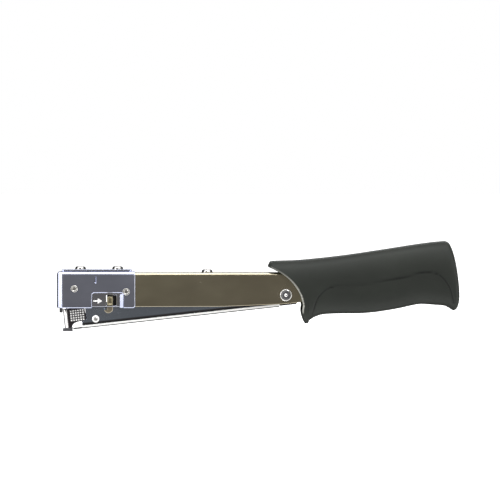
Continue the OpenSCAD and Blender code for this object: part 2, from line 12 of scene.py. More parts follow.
import bmesh
import bpy
import numpy as np
from mathutils import Matrix, Vector


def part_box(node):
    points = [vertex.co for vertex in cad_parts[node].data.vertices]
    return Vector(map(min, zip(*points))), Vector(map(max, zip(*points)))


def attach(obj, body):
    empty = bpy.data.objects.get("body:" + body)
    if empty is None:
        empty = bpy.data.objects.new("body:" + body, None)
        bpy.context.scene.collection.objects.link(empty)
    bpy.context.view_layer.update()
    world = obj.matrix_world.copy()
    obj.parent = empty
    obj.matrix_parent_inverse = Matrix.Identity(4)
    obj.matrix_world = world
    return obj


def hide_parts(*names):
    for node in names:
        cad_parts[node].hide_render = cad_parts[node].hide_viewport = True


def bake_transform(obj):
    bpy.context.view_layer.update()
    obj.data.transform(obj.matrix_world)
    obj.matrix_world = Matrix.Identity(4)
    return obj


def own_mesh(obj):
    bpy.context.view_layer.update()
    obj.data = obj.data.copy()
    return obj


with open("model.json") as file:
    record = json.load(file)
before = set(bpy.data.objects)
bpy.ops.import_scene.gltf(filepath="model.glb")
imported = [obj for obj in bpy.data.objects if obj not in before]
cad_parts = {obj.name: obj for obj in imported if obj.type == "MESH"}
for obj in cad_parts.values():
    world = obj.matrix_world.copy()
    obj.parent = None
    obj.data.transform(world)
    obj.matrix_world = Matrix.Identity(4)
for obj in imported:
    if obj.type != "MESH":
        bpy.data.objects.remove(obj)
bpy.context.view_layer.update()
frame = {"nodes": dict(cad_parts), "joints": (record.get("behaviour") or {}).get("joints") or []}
MM = 0.001
JOINTS = {j["name"]: j for j in frame["joints"]}


# %% [markdown]
# ## Camera
# The tool is seen from its side by a long lens, a little from the front and above, so its
# parallel edges stay parallel. AIM is the point that the camera looks at.

# %% Camera
VIEW_WIDTH = 400 * MM        # how wide the view is, at the tool
SENSOR_WIDTH = 36
CAMERA_DISTANCE = 2.6
CAMERA_AZIMUTH = math.radians(-3.0)
CAMERA_ELEVATION = math.radians(1.2)
AIM = Vector((-6.6 * MM, 0, 64.4 * MM))


def make_camera():
    data = bpy.data.cameras.new("camera")
    data.sensor_width = SENSOR_WIDTH
    data.lens = SENSOR_WIDTH * CAMERA_DISTANCE / VIEW_WIDTH
    data.clip_end = 50
    camera = bpy.data.objects.new("camera", data)
    bpy.context.scene.collection.objects.link(camera)
    level = math.cos(CAMERA_ELEVATION)
    away = Vector((math.sin(CAMERA_AZIMUTH) * level, -math.cos(CAMERA_AZIMUTH) * level,
                   math.sin(CAMERA_ELEVATION)))
    camera.location = AIM + CAMERA_DISTANCE * away
    camera.rotation_euler = away.to_track_quat("Z", "Y").to_euler()
    bpy.context.scene.camera = camera
    return camera


camera = make_camera()
print("lens", round(camera.data.lens), "mm")


# %% [markdown]
# ## Stage and light
# A plated sheet has almost no colour of its own: it shows what stands around it. The tool is
# seen against white, inside a bright ring of soft light. Only the camera's side and the far
# side are dark, so the flat sides stay deep while each fold, bevel and rivet catches a white
# line. The floor is pale and glows a little, and the sheets don't see it.

# %% Stage and light
FLOOR_SIZE = 60.0
FLOOR_DROP = 0.013          # room below the tool for the unit that slides forward and down
FLOOR_TONE = 0.93
FLOOR_GLOW = 0.62
# How bright the surroundings are, from the camera's side (0) to the far side (1)
RING = [(0.0, (0.155, 0.15, 0.14)), (0.09, (0.165, 0.16, 0.15)), (0.2, (1.4, 1.4, 1.4)),
        (0.6, (1.45, 1.45, 1.45)), (0.72, (0.12, 0.12, 0.12)), (1.0, (0.1, 0.1, 0.1))]
# Each light has a place, a point that it faces, a size in metres and a power
LIGHTS = {
    "overhead": ((0, -0.35, 1.3), (0, 0, 0.04), (1.6, 0.7), 9),
    "front_left": ((-1.5, -0.9, 0.5), (-0.1, 0, 0.03), (0.5, 0.9), 5),
    "grip_side": ((0.55, -1.5, 1.0), (0.08, 0, 0.04), (0.6, 0.4), 6),
    "behind": ((0.2, 1.4, 0.9), (0, 0, 0.03), (1.4, 0.5), 6),
}


def make_floor():
    bpy.ops.mesh.primitive_plane_add(size=FLOOR_SIZE, location=(0, 0, -FLOOR_DROP))
    floor = bpy.context.object
    floor.name = "floor"
    material = bpy.data.materials.new("pale_floor")
    material.use_nodes = True
    shader = material.node_tree.nodes["Principled BSDF"]
    shader.inputs["Base Color"].default_value = (FLOOR_TONE, FLOOR_TONE, FLOOR_TONE, 1)
    shader.inputs["Roughness"].default_value = 1.0
    shader.inputs["Emission Color"].default_value = (1, 1, 1, 1)
    shader.inputs["Emission Strength"].default_value = FLOOR_GLOW
    floor.data.materials.append(material)
    floor.visible_glossy = False


def area_light(name, place, target, size, power):
    data = bpy.data.lights.new(name, "AREA")
    data.shape = "RECTANGLE"
    data.size, data.size_y = size
    data.energy = power
    light = bpy.data.objects.new(name, data)
    light.location = place
    light.rotation_euler = (Vector(place) - Vector(target)).to_track_quat("Z", "Y").to_euler()
    bpy.context.scene.collection.objects.link(light)


def make_world():
    """Pure white where the camera sees it, and the ring of light for everything else."""
    world = bpy.data.worlds.new("studio")
    bpy.context.scene.world = world
    world.use_nodes = True
    tree = world.node_tree
    nodes, links = tree.nodes, tree.links
    nodes.clear()
    out = nodes.new("ShaderNodeOutputWorld")
    seen = nodes.new("ShaderNodeBackground")
    seen.inputs["Color"].default_value = (1, 1, 1, 1)
    seen.inputs["Strength"].default_value = 1.0
    around = nodes.new("ShaderNodeBackground")
    around.inputs["Strength"].default_value = 1.0
    place = nodes.new("ShaderNodeTexCoord")
    split = nodes.new("ShaderNodeSeparateXYZ")
    ramp = nodes.new("ShaderNodeValToRGB")
    while len(ramp.color_ramp.elements) < len(RING):
        ramp.color_ramp.elements.new(0.5)
    for element, (at_share, level) in zip(ramp.color_ramp.elements, RING):
        element.position = at_share
        element.color = (*level, 1)
    half = nodes.new("ShaderNodeMapRange")
    half.inputs["From Min"].default_value = -1
    path = nodes.new("ShaderNodeLightPath")
    mix = nodes.new("ShaderNodeMixShader")
    links.new(place.outputs["Generated"], split.inputs[0])
    links.new(split.outputs["Y"], half.inputs["Value"])
    links.new(half.outputs[0], ramp.inputs["Fac"])
    links.new(ramp.outputs["Color"], around.inputs["Color"])
    links.new(path.outputs["Is Camera Ray"], mix.inputs["Fac"])
    links.new(around.outputs[0], mix.inputs[1])
    links.new(seen.outputs[0], mix.inputs[2])
    links.new(mix.outputs[0], out.inputs["Surface"])


make_floor()
make_world()
for name, (place, target, size, power) in LIGHTS.items():
    area_light(name, place, target, size, power)
bpy.context.scene.view_settings.view_transform = "Standard"
print("lights", len(bpy.data.lights))


# %% [markdown]
# ## Mesh helpers
# Folded sheet never ends in a knife edge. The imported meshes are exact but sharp, so a copy of
# each is merged, cleaned of needless edges, and given a narrow bevel along its outer edges.
# The bevels are what catches the light. Round surfaces keep smooth shading.

# %% Mesh helpers
SHARP_ANGLE = math.radians(32)
FLAT_ANGLE = math.radians(0.6)      # faces that meet at less than this become one
MERGE_DISTANCE = 2e-6


def link_piece(name, mesh):
    piece = bpy.data.objects.new(name, mesh)
    bpy.context.scene.collection.objects.link(piece)
    return piece


def shade(mesh, angle=SHARP_ANGLE):
    """Smooth shading with sharp edges only where two faces really meet at an angle."""
    bm = bmesh.new()
    bm.from_mesh(mesh)
    for face in bm.faces:
        face.smooth = True
    for edge in bm.edges:
        edge.smooth = len(edge.link_faces) == 2 and edge.calc_face_angle(0) < angle
    bm.to_mesh(mesh)
    bm.free()


def flat_kept(piece):
    """Keeps flat faces evenly shaded, so only the bevels and rounds turn the light."""
    weigh = piece.modifiers.new("flat faces first", "WEIGHTED_NORMAL")
    weigh.keep_sharp = True
    weigh.weight = 100
    graph = bpy.context.evaluated_depsgraph_get()
    mesh = bpy.data.meshes.new_from_object(piece.evaluated_get(graph), depsgraph=graph)
    piece.modifiers.clear()
    mesh.name = piece.name
    piece.data = mesh
    return piece


def every_edge(middle):
    return True


def no_edge(middle):
    return False


def softened(node, width, segments=1, chosen=every_edge, wide=(0, no_edge)):
    """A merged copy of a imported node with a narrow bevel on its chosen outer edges.

    Widths are in millimetres. A chooser is given the middle of an edge. wide is another width
    and its own chooser, for edges that don't take the first width.
    """
    source = frame["nodes"][node]
    bm = bmesh.new()
    bm.from_mesh(source.data)
    bmesh.ops.remove_doubles(bm, verts=bm.verts, dist=MERGE_DISTANCE)
    bmesh.ops.dissolve_limit(bm, angle_limit=FLAT_ANGLE, verts=bm.verts, edges=bm.edges)
    bmesh.ops.recalc_face_normals(bm, faces=bm.faces)
    middles = [(e, (e.verts[0].co + e.verts[1].co) / 2 / MM) for e in bm.edges
               if len(e.link_faces) == 2 and e.calc_face_angle_signed(0) > SHARP_ANGLE]
    wide_width, is_wide = wide
    edges = [e for e, middle in middles if chosen(middle) and not is_wide(middle)]
    wide_edges = [e for e, middle in middles if is_wide(middle)]
    for group, size in ((wide_edges, wide_width), (edges, width)):
        group = [e for e in group if e.is_valid]
        if group and size:
            bmesh.ops.bevel(bm, geom=group, offset=size * MM, offset_type="OFFSET", profile=0.5,
                            segments=segments, affect="EDGES", clamp_overlap=False)
    bmesh.ops.recalc_face_normals(bm, faces=bm.faces)
    mesh = bpy.data.meshes.new(node)
    bm.to_mesh(mesh)
    bm.free()
    shade(mesh)
    return flat_kept(link_piece(node + "_skin", mesh))


def coordinates(mesh):
    """The x, y and z of every vertex, in millimetres."""
    flat = np.empty(3 * len(mesh.vertices))
    mesh.vertices.foreach_get("co", flat)
    return flat.reshape(-1, 3).T / MM


def mark(mesh, name, values):
    """Keeps one number a vertex, which a material can read."""
    mesh.attributes.new(name, "FLOAT", "POINT").data.foreach_set("value", values.astype(np.float32))


def dress(piece, body, slot, material, *replaced):
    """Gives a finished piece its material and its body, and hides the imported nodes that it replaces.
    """
    piece.data.materials.clear()
    piece.data.materials.append(material)
    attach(piece, body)
    if replaced:
        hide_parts(*replaced)
    print(piece.name, len(piece.data.polygons), "faces on", body)


# %% [markdown]
# ## A shared finish for plated sheet
# Nickel plate over rolled steel keeps the fine lines of the rolling, runs a little darker and
# lighter across the sheet, and carries faint wiped smears that dull the shine. One node group
# makes all three from the piece's own coordinates, and each material places it with its own
# tint and strength.

# %% Plated sheet group
def new_group(name, inputs, outputs):
    group = bpy.data.node_groups.new(name, "ShaderNodeTree")
    for label, kind, value in inputs:
        socket = group.interface.new_socket(label, in_out="INPUT", socket_type=kind)
        socket.default_value = value
    for label, kind in outputs:
        group.interface.new_socket(label, in_out="OUTPUT", socket_type=kind)
    ends = (group.nodes.new("NodeGroupInput"), group.nodes.new("NodeGroupOutput"))
    return group, *ends


def noise_in(group, vector, scale, detail, stretch=(1, 1, 1), roughness=0.5):
    mapping = group.nodes.new("ShaderNodeMapping")
    mapping.inputs["Scale"].default_value = stretch
    noise = group.nodes.new("ShaderNodeTexNoise")
    noise.inputs["Scale"].default_value = scale
    noise.inputs["Detail"].default_value = detail
    noise.inputs["Roughness"].default_value = roughness
    group.links.new(vector, mapping.inputs["Vector"])
    group.links.new(mapping.outputs[0], noise.inputs["Vector"])
    return noise.outputs["Fac"]


def ranged(group, value, low, high, from_min=0.3, from_max=0.7):
    node = group.nodes.new("ShaderNodeMapRange")
    node.inputs["From Min"].default_value = from_min
    node.inputs["From Max"].default_value = from_max
    for socket, source in ((node.inputs["Value"], value), (node.inputs["To Min"], low),
                           (node.inputs["To Max"], high)):
        if isinstance(source, (int, float)):
            socket.default_value = source
        else:
            group.links.new(source, socket)
    return node.outputs["Result"]


def mixed(group, share, first, second):
    """A mix of two colours, each a value or another node's output."""
    node = group.nodes.new("ShaderNodeMix")
    node.data_type = "RGBA"
    for socket, source in ((node.inputs["Factor"], share), (node.inputs[6], first),
                           (node.inputs[7], second)):
        if isinstance(source, (int, float, tuple)):
            socket.default_value = source
        else:
            group.links.new(source, socket)
    return node.outputs[2]


def math_in(group, operation, first, second):
    node = group.nodes.new("ShaderNodeMath")
    node.operation = operation
    for socket, source in zip(node.inputs, (first, second)):
        if isinstance(source, (int, float)):
            socket.default_value = source
        else:
            group.links.new(source, socket)
    return node.outputs[0]


def plated_group():
    group, start, end = new_group(
        "plated_sheet",
        [("Tint", "NodeSocketColor", (0.6, 0.6, 0.6, 1)),
         ("Dark Tint", "NodeSocketColor", (0.4, 0.4, 0.4, 1)),
         ("Second Tint", "NodeSocketColor", (0.6, 0.6, 0.6, 1)), ("Second", "NodeSocketFloat", 0.0),
         ("Roughness", "NodeSocketFloat", 0.2), ("Smear", "NodeSocketFloat", 0.1),
         ("Grain", "NodeSocketFloat", 0.5)],
        [("Color", "NodeSocketColor"), ("Roughness", "NodeSocketFloat"), ("Height", "NodeSocketFloat")])
    place = group.nodes.new("ShaderNodeTexCoord").outputs["Object"]
    lines = noise_in(group, place, 60, 4, stretch=(0.5, 30, 30), roughness=0.6)
    cloud = noise_in(group, place, 22, 3, stretch=(0.5, 1, 1.4))
    smear = noise_in(group, place, 75, 6, stretch=(0.6, 1, 1), roughness=0.65)
    mix = mixed(group, ranged(group, cloud, 0.0, 1.0, 0.35, 0.65), start.outputs["Dark Tint"],
                start.outputs["Tint"])
    second = mixed(group, start.outputs["Second"], mix, start.outputs["Second Tint"])
    group.links.new(second, end.inputs["Color"])
    dull = math_in(group, "MULTIPLY", ranged(group, smear, 0.0, 1.0, 0.42, 0.72), start.outputs["Smear"])
    group.links.new(math_in(group, "ADD", dull, start.outputs["Roughness"]), end.inputs["Roughness"])
    group.links.new(math_in(group, "MULTIPLY", lines, start.outputs["Grain"]), end.inputs["Height"])
    return group


PLATED = plated_group()
print("plated sheet group", len(PLATED.nodes), "nodes")


# %% [markdown]
# ## The magazine's own axes
# The magazine is tilted, so its pieces and the bands in its finish are easier to place on axes
# of their own: U runs along the magazine towards the grip and V square to it. The direction of
# the pusher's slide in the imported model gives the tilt, and the bottom rail gives the origin.

# %% The magazine's own axes
U_AXIS = Vector(JOINTS["pusher_slide"]["axis"]).normalized()
V_AXIS = Vector((-U_AXIS.z, 0, U_AXIS.x))
LEANING = {"U": U_AXIS, "V": V_AXIS}
LEANING_ORIGIN = Vector((-150, 0, 1.1))     # in millimetres
MAGAZINE_ORIGIN = LEANING_ORIGIN * MM
MAGAZINE_TURN = Matrix((
    (U_AXIS.x, 0, V_AXIS.x, MAGAZINE_ORIGIN.x), (0, 1, 0, 0),
    (U_AXIS.z, 0, V_AXIS.z, MAGAZINE_ORIGIN.z), (0, 0, 0, 1)))


def on_leaning(point, axis):
    """How far along one of these axes a point lies. Both are in millimetres."""
    return (point - LEANING_ORIGIN).dot(LEANING[axis])


def on_magazine(u, y, v):
    """The place of a point that is given on these axes in millimetres."""
    return MAGAZINE_ORIGIN + (u * U_AXIS + v * V_AXIS + y * Vector((0, 1, 0))) * MM


print("tilt", round(math.degrees(math.atan2(U_AXIS.z, U_AXIS.x)), 2))


# %% [markdown]
# ## Metals
# Every metal is the same recipe: the shared group gives the colour, the roughness and a grain
# height, a Bump node turns the height into a normal, and the Principled shader holds what is
# the same all over the piece. A second tint can cover a band of a piece, or the places where
# its vertices are marked.

# %% Metals
def along_axis(tree, axis, start, end):
    """A mask from the piece's own coordinates: 0 up to start and 1 from end, in millimetres."""
    place = tree.nodes.new("ShaderNodeTexCoord")
    if axis in LEANING:
        along = tree.nodes.new("ShaderNodeVectorMath")
        along.operation = "DOT_PRODUCT"
        along.inputs[1].default_value = LEANING[axis]
        tree.links.new(place.outputs["Object"], along.inputs[0])
        shift = LEANING[axis].dot(LEANING_ORIGIN)
        return ranged(tree, along.outputs["Value"], 0.0, 1.0, (start + shift) * MM, (end + shift) * MM)
    split = tree.nodes.new("ShaderNodeSeparateXYZ")
    tree.links.new(place.outputs["Object"], split.inputs[0])
    return ranged(tree, split.outputs[axis], 0.0, 1.0, start * MM, end * MM)


def marked(tree, name):
    """The number that a piece's vertices carry under this name."""
    node = tree.nodes.new("ShaderNodeAttribute")
    node.attribute_name = name
    return node.outputs["Fac"]


BUMP_DISTANCE = 0.0002


def metal(name, tint, dark, roughness, smear, grain, bump, second=None, metallic=1.0):
    """A metal with the shared finish.

    second is another tint and where it lies: either the name of a marked number, or an axis and
    the two places between which it comes in, in millimetres. Two more places end it again.
    """
    material = bpy.data.materials.new(name)
    material.use_nodes = True
    tree = material.node_tree
    shader = tree.nodes["Principled BSDF"]
    shader.inputs["Metallic"].default_value = metallic
    finish = tree.nodes.new("ShaderNodeGroup")
    finish.node_tree = PLATED
    finish.inputs["Tint"].default_value = (*tint, 1)
    finish.inputs["Dark Tint"].default_value = (*dark, 1)
    finish.inputs["Roughness"].default_value = roughness
    finish.inputs["Smear"].default_value = smear
    finish.inputs["Grain"].default_value = grain
    if second:
        colour, *where = second
        finish.inputs["Second Tint"].default_value = (*colour, 1)
        share = marked(tree, *where) if len(where) == 1 else along_axis(tree, *where[:3])
        if len(where) == 5:
            share = math_in(tree, "MULTIPLY", share, along_axis(tree, where[0], *where[3:]))
        tree.links.new(share, finish.inputs["Second"])
    bump_node = tree.nodes.new("ShaderNodeBump")
    bump_node.inputs["Strength"].default_value = bump
    bump_node.inputs["Distance"].default_value = BUMP_DISTANCE
    tree.links.new(finish.outputs["Color"], shader.inputs["Base Color"])
    tree.links.new(finish.outputs["Roughness"], shader.inputs["Roughness"])
    tree.links.new(finish.outputs["Height"], bump_node.inputs["Height"])
    tree.links.new(bump_node.outputs["Normal"], shader.inputs["Normal"])
    return material


FRAME_PLATE = metal("frame_plate", (0.66, 0.6, 0.44), (0.56, 0.5, 0.37), 0.2, 0.08, 0.5, 0.04,
                    second=((0.6, 0.61, 0.68), "X", -100, -108))
HEAD_PLATE = metal("head_plate", (0.76, 0.8, 1.0), (0.62, 0.66, 0.84), 0.16, 0.08, 0.4, 0.04)
# The magazine's second tint is a painted dark reflection: a band along the magazine's lower edge.
MAGAZINE_PLATE = metal("magazine_plate", (0.59, 0.66, 0.8), (0.48, 0.54, 0.65), 0.2, 0.1, 0.5, 0.04,
                       second=((0.14, 0.14, 0.15), "V", 4.9, 3.9))
# The rail's near-white, half-metallic tone is a painted highlight along its side, and its second tint
# paints shade as a dark band near its lower edge.
RAIL_PLATE = metal("rail_plate", (0.86, 0.86, 0.84), (0.8, 0.8, 0.78), 0.5, 0.04, 0.3, 0.03,
                   second=((0.1, 0.1, 0.1), "V", 1.05, 0.85, 0.01, 0.06), metallic=0.3)
# The second tint paints a dark reflection on the flanks of the domed heads, before and behind their
# middles.
HEAD_NICKEL = metal("head_nickel", (0.95, 0.94, 0.92), (0.88, 0.87, 0.85), 0.16, 0.06, 0.1, 0.01,
                    second=((0.07, 0.07, 0.07), "flank"))
# The nose's second tint is a painted highlight: a near-white strip down the nose's rounded front corner.
NOSE_STEEL = metal("nose_steel", (0.2, 0.19, 0.21), (0.15, 0.14, 0.16), 0.2, 0.1, 0.3, 0.03,
                   second=((0.97, 0.95, 0.95), "U", -3.95, -3.7, -1.0, -1.3))
RIVET_NICKEL = metal("rivet_nickel", (0.97, 0.96, 0.94), (0.92, 0.91, 0.89), 0.14, 0.06, 0.1, 0.01)
# A painted highlight for the raised arrow: near-white and half metallic.
ARROW_PAINTED_HIGHLIGHT = metal("arrow_painted_highlight", (0.9, 0.9, 0.89), (0.85, 0.85, 0.84), 0.5, 0.04, 0.2, 0.02,
                     metallic=0.3)
STUD_NICKEL = metal("stud_nickel", (0.98, 0.98, 0.96), (0.94, 0.94, 0.92), 0.3, 0.06, 0.1, 0.01)
TOOL_STEEL = metal("tool_steel", (0.34, 0.34, 0.36), (0.2, 0.2, 0.22), 0.35, 0.2, 1.0, 0.12)
SPRING_STEEL = metal("spring_steel", (0.4, 0.42, 0.48), (0.25, 0.27, 0.33), 0.28, 0.12, 0.6, 0.05)
LATCH_BRASS = metal("latch_brass", (0.66, 0.6, 0.42), (0.52, 0.46, 0.3), 0.28, 0.12, 0.4, 0.05)
# The latch's plate is painted near-black as shade behind its opening, and the second tint makes its toe
# brass.
LATCH_SHADE_AND_TOE = metal("latch_painted_shade_brass_toe", (0.06, 0.06, 0.06), (0.04, 0.04, 0.04), 0.3, 0.12, 0.4, 0.05,
                    second=((0.66, 0.58, 0.44), "Z", 19.8, 19.5))
BUSH_BRASS = metal("bush_brass", (0.78, 0.62, 0.32), (0.6, 0.46, 0.22), 0.3, 0.15, 0.4, 0.05)
print("metals", len(bpy.data.materials) - 1)


# %% [markdown]
# ## Rubber and moulded plastic
# The grip is a moulded rubber sleeve: dark, slightly green, and matt, with a fine spark-eroded
# grain that only shows as a soft sheen. The grain is a very small noise in the Bump height, and
# a slow cloud keeps the tone from being one flat value.

# %% Rubber and moulded plastic
ROUGHNESS_SPREAD = 0.06


def moulded(name, colour, dark, roughness, grain_scale, grain_depth, tones=()):
    """A matt moulding. tones are other colours, each with the marked number that brings it in."""
    material = bpy.data.materials.new(name)
    material.use_nodes = True
    tree = material.node_tree
    shader = tree.nodes["Principled BSDF"]
    shader.inputs["Specular IOR Level"].default_value = 0.3
    place = tree.nodes.new("ShaderNodeTexCoord").outputs["Object"]
    fine = noise_in(tree, place, grain_scale, 3, roughness=0.6)
    cloud = noise_in(tree, place, 30, 4, stretch=(0.6, 1, 1))
    tone = mixed(tree, ranged(tree, cloud, 0.0, 1.0), (*dark, 1), (*colour, 1))
    for attribute, colour_there in tones:
        tone = mixed(tree, marked(tree, attribute), tone, (*colour_there, 1))
    tree.links.new(tone, shader.inputs["Base Color"])
    rough = ranged(tree, fine, roughness - ROUGHNESS_SPREAD, roughness + ROUGHNESS_SPREAD)
    tree.links.new(rough, shader.inputs["Roughness"])
    bump = tree.nodes.new("ShaderNodeBump")
    bump.inputs["Strength"].default_value = 0.35
    bump.inputs["Distance"].default_value = grain_depth
    tree.links.new(fine, bump.inputs["Height"])
    tree.links.new(bump.outputs["Normal"], shader.inputs["Normal"])
    return material


# The rim tone is a painted highlight on the mouth's lip, and the groove tone is painted shade in the
# panel's groove.
GRIP_RUBBER = moulded("grip_rubber", (0.0165, 0.0195, 0.0155), (0.0115, 0.0138, 0.011), 0.55, 2200,
                      0.00012, tones=(("rim", (0.3, 0.3, 0.27)), ("groove", (0.003, 0.004, 0.003))))
GUIDE_PLASTIC = moulded("guide_plastic", (0.02, 0.02, 0.02), (0.012, 0.012, 0.012), 0.4, 1500, 0.00006)
CORE_PLASTIC = moulded("core_plastic", (0.05, 0.05, 0.055), (0.035, 0.035, 0.04), 0.5, 1500, 0.00006)
print("moulded finishes ready")


# %% [markdown]
# ## Folded sheets and turned pieces
# The frame, the head shell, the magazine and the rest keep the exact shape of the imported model
# and only gain the radius that a press or a lathe leaves on them. The table below says which
# body each one belongs to, its slot, its finish and how wide its edge radius is. All measures
# here are in millimetres.

# %% Folded sheets and turned pieces
SKINS = [
    ("frame_channel", "frame", "frame_plate", FRAME_PLATE, 0.25),
    ("head_shell", "frame", "head_plate", HEAD_PLATE, 0.5),
    ("striking_plate", "frame", "head_plate", HEAD_PLATE, 0.1),
    ("front_guide", "frame", "guide_plastic", GUIDE_PLASTIC, 0.25),
    ("driver_block", "frame", "tool_steel", TOOL_STEEL, 0.3),
    ("driver_blade", "frame", "tool_steel", TOOL_STEEL, 0.12),
    ("pivot_washers", "frame", "rivet_nickel", RIVET_NICKEL, 0.95),
    ("pivot_rivet", "frame", "rivet_nickel", RIVET_NICKEL, 0.2),
    ("head_side_rivets", "frame", "rivet_nickel", RIVET_NICKEL, 0.42),
    ("latch_left", "latch_left", "latch_brass", LATCH_BRASS, 0.3),
    ("latch_right", "latch_right", "latch_brass", LATCH_BRASS, 0.3),
    ("magazine_channel", "magazine", "magazine_plate", MAGAZINE_PLATE, 0.45),
    ("end_block", "magazine", "core_plastic", CORE_PLASTIC, 0.3),
    ("rod_bracket", "magazine", "tool_steel", TOOL_STEEL, 0.12),
    ("pusher", "pusher", "tool_steel", TOOL_STEEL, 0.15),
    ("nose_housing", "pull_out_unit", "nose_steel", NOSE_STEEL, 0.35),
    ("strike_foot", "pull_out_unit", "tool_steel", TOOL_STEEL, 0.25),
    ("bottom_rail", "pull_out_unit", "rail_plate", RAIL_PLATE, 0.35),
    ("staple_rail", "pull_out_unit", "rail_plate", SPRING_STEEL, 0.2),
]

SLIT_X = -130.5             # the slit in the head's side
SLIT_HALF = 1.5
SLIT_Z = (38.6, 43.8)       # takes in the edges of its foot, but not those of its top
SLIT_TOP = 43.9
SLIT_PLAY = 0.1
OPENING_X = (-124, -112)    # the frame's opening for a latch
OPENING_Z = (20, 29.5)
LOWER_EDGES_V = 3           # the magazine's lower edges lie below this
ARROW_Y = 10.25             # the raised arrow stands further out than this
PIVOT_NUB_Y = 11.85         # the nub on the pivot's head stands further out than this
LATCH_SHADED_PLATE_Y = 8.35        # the plate of a latch lies inside this half width
ROUND_STEPS = 4             # a rounded edge has this many faces across it


def off_slit_top(middle):
    return abs(middle.z - SLIT_TOP) > SLIT_PLAY


def above_lower_edges(middle):
    return on_leaning(middle, "V") > LOWER_EDGES_V


def round_opening(middle):
    return OPENING_X[0] < middle.x < OPENING_X[1] and OPENING_Z[0] < middle.z < OPENING_Z[1]


def round_slit(middle):
    return abs(middle.x - SLIT_X) < SLIT_HALF and SLIT_Z[0] < middle.z < SLIT_Z[1]


# The top of the head's slit lies too close to the fold for a bevel, and the magazine's lower
# edges stay sharp. The slit has a finer bevel than the rest of the head, and the opening for
# the latch a wider one than the rest of the frame.
CHOSEN = {"head_shell": off_slit_top, "magazine_channel": above_lower_edges}
WIDE = {"frame_channel": (0.42, round_opening), "head_shell": (0.32, round_slit)}
ROUNDED = ("pivot_washers", "head_side_rivets")

for node, body, slot, material, width in SKINS:
    piece = softened(node, width, ROUND_STEPS if node in ROUNDED else 1,
                     chosen=CHOSEN.get(node, every_edge), wide=WIDE.get(node, (0, no_edge)))
    dress(piece, body, slot, material, node)

# The raised arrow carries a painted highlight, near-white and half metallic, and the pivot's head is
# dark steel round a bright nub.
for name, other, reaches in (("frame_channel", ARROW_PAINTED_HIGHLIGHT, lambda y: y > ARROW_Y),
                             ("pivot_rivet", TOOL_STEEL, lambda y: y < PIVOT_NUB_Y)):
    skin = bpy.data.objects[name + "_skin"].data
    skin.materials.append(other)
    for face in skin.polygons:
        face.material_index = int(reaches(abs(face.center.y) / MM))

# Only the thumb tab and the toe of a latch are brass. The blind behind the opening is painted near-black
# as painted shade.
for side in ("left", "right"):
    skin = bpy.data.objects[f"latch_{side}_skin"].data
    skin.materials.append(LATCH_SHADE_AND_TOE)
    for face in skin.polygons:
        face.material_index = int(abs(face.center.y) < LATCH_SHADED_PLATE_Y * MM)

# The three domed heads have a wide round where their sides turn into the dome. Their flanks before and
# behind the middle are painted dark, as a painted reflection of dark surroundings. Each row has the
# height above which the edges are rounded, and where the middles of the heads lie along the tool.
DOMED = {"head_rivets": (50, (-142, -112.4)), "spring_rivet": (47.4, (-41,))}
DOME_ROUND = 1.1
FLANK_START = 1.5           # the painted dark reflection on the flanks begins this far before or behind a head's middle
FLANK_FADE = 1.1

for node, (height, centres) in DOMED.items():
    piece = softened(node, DOME_ROUND, ROUND_STEPS, chosen=lambda middle: middle.z > height)
    dress(piece, "frame", "rivet_nickel", HEAD_NICKEL, node)
    along = coordinates(piece.data)[0]
    off = np.min([np.abs(along - centre) for centre in centres], axis=0)
    mark(piece.data, "flank", np.clip((off - FLANK_START) / FLANK_FADE, 0, 1))
print("skins", len(SKINS))


# %% [markdown]
# ## Thumb ramps
# Behind the opening, the head's window ends in a shallow ramp that leads the thumb out. Seen
# from above it is a plain wedge from the frame's side to the outside of the head, and it is as
# high as the window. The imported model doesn't have it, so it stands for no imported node.

# %% Thumb ramps
RAMP_X = (-110.7, -108.12)
RAMP_Y = (9.98, 11.15)
RAMP_Z = (18.75, 29.6)


def thumb_ramps():
    bm = bmesh.new()
    for side in (-1, 1):
        rings = [[bm.verts.new(Vector((x, side * y, z)) * MM) for x, y in
                  ((RAMP_X[0], RAMP_Y[0]), (RAMP_X[1], RAMP_Y[0]), (RAMP_X[1], RAMP_Y[1]))]
                 for z in RAMP_Z]
        for ring in rings:
            bm.faces.new(ring)
        for i in range(3):
            bm.faces.new([rings[0][i], rings[0][i - 1], rings[1][i - 1], rings[1][i]])
    bmesh.ops.recalc_face_normals(bm, faces=bm.faces)
    mesh = bpy.data.meshes.new("thumb_ramps")
    bm.to_mesh(mesh)
    bm.free()
    return mesh


dress(link_piece("thumb_ramps", thumb_ramps()), "frame", "head_plate", HEAD_PLATE)


# %% [markdown]
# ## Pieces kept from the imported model
# Round heads and rods are already smooth, so they only take a material.

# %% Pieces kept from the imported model
KEPT = {"magazine_side_rivets": STUD_NICKEL, "tang_rivets": RIVET_NICKEL, "rail_rivets": RIVET_NICKEL,
        "pusher_rod": SPRING_STEEL, "magazine_bushes": BUSH_BRASS, "handle_core": CORE_PLASTIC}

for node, material in KEPT.items():
    piece = frame["nodes"][node]
    piece.data.materials.clear()
    piece.data.materials.append(material)
print("kept", len(KEPT))


# %% [markdown]
# ## The grip
# The grip is one moulded sleeve. Its side outline is two smooth curves, its sections are
# squared ovals, and its mouth follows a curve that leaves the frame's side open. A grid of
# points is laid from the mouth to the butt, so the rows follow the mouth itself. The inlaid
# palm panel is a fine groove, pressed into the same grid, with the rubber below it standing a
# little lower.

